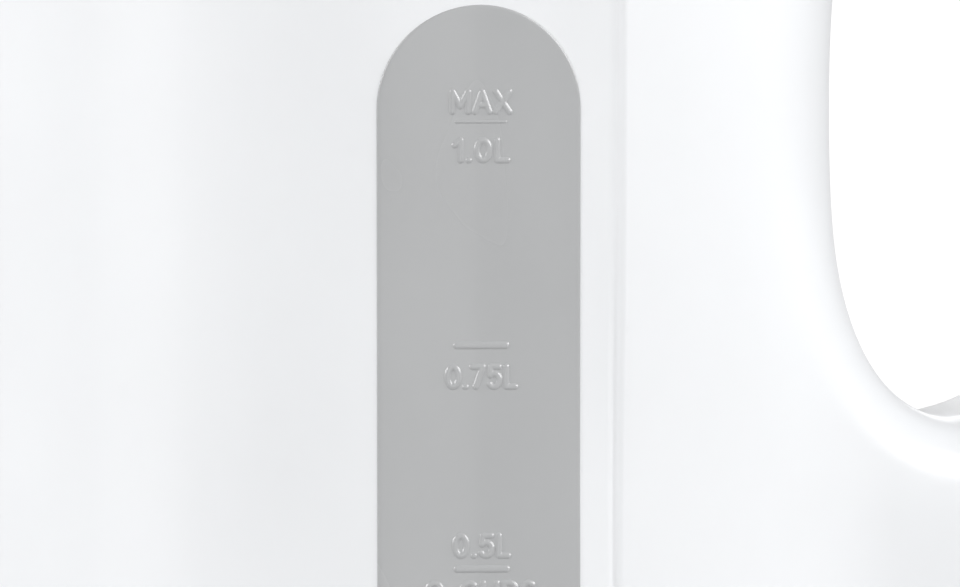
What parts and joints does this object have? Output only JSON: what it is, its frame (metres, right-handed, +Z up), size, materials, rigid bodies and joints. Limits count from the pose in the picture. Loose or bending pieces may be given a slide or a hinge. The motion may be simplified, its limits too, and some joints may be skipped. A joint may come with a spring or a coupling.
{
  "type": "electric kettle",
  "caption": "Round moulded electric kettle with an integral handle, side level windows, a push-button lid, a rear switch and a lift-off power base.",
  "frame": {"origin": "middle of the bounding box, on the surface that the power base stands on", "axes": "+Z up, +X towards the handle, -X towards the spout, -Y towards the side with the left level window"},
  "size_m": [0.1848, 0.132, 0.2135],
  "materials": {
    "white_plastic": "satin moulded white polypropylene",
    "grey_clear_plastic": "smooth grey translucent plastic",
    "inner_plastic": "matt white moulding",
    "black_plastic": "fine matt black moulding",
    "steel": "satin stainless steel",
    "aluminium": "rolled",
    "brass": "turned",
    "silicone": "pale silicone",
    "rubber": "grey rubber",
    "orange_clear_plastic": "clear orange plastic"
  },
  "bodies": {
    "jug": {"jug_body": "white_plastic", "handle_cover": "white_plastic", "level_window_left": "grey_clear_plastic", "level_window_right": "grey_clear_plastic", "top_collar": "inner_plastic", "filter_frame": "inner_plastic", "filter_mesh": "steel", "plate_seal": "silicone", "heater_plate": "steel", "heat_spreader": "aluminium", "heating_element": "steel", "plate_clamp_ring": "inner_plastic", "control_block": "black_plastic", "connector_pin": "brass", "dry_boil_bimetal": "brass", "steam_bimetal": "brass", "indicator_lamp": "orange_clear_plastic", "steam_tube": "silicone", "bottom_cover": "black_plastic", "bottom_screw_1": "steel", "bottom_screw_2": "steel", "bottom_screw_3": "steel", "switch_pivot_pin": "steel", "lid_hinge_pin": "steel"},
    "connector": {"connector_ring": "brass"},
    "switch": {"switch_lever": "grey_clear_plastic", "indicator_lens": "orange_clear_plastic"},
    "lid": {"lid_cap": "white_plastic", "lid_liner": "inner_plastic", "lid_seal": "silicone", "latch_spring": "steel"},
    "button": {"lid_button": "grey_clear_plastic"},
    "latch": {"latch_slider": "inner_plastic"},
    "power_base": {"base_top": "white_plastic", "base_plate": "black_plastic", "base_socket": "black_plastic", "socket_contact_live": "brass", "socket_contact_neutral": "brass", "socket_contact_earth": "brass", "base_foot_1": "rubber", "base_foot_2": "rubber", "base_foot_3": "rubber", "base_foot_4": "rubber", "base_screw_1": "steel", "base_screw_2": "steel", "base_screw_3": "steel", "cord_gland": "black_plastic", "cord_clamp": "black_plastic"}
  },
  "joints": [
    {"name": "jug_lift", "type": "slide", "parent": "power_base", "child": "connector", "axis": [0, 0, 1], "range_m": [0, 0.2]},
    {"name": "jug_swivel", "type": "hinge", "parent": "connector", "child": "jug", "pos_m": [-0.02235, 0, 0.02], "axis": [0, 0, 1], "continuous": true},
    {"name": "lid_hinge", "type": "hinge", "parent": "jug", "child": "lid", "pos_m": [0.02065, 0, 0.204], "axis": [0, 1, 0], "range_deg": [0, 80]},
    {"name": "lid_button_press", "type": "slide", "parent": "lid", "child": "button", "axis": [0, 0, -1], "range_m": [0, 0.003], "stiffness_N_per_m": 300, "springref_m": -0.002},
    {"name": "latch_slide", "type": "slide", "parent": "lid", "child": "latch", "axis": [1, 0, 0], "range_m": [0, 0.003], "deforming": ["latch_spring"]},
    {"name": "switch_rock", "type": "hinge", "parent": "jug", "child": "switch", "pos_m": [0.02714, 0, 0.028], "axis": [0, 1, 0], "range_deg": [0, 14]}
  ],
  "couplings": [
    {"joint": "latch_slide", "follows": "lid_button_press", "ratio": 1}
  ]
}
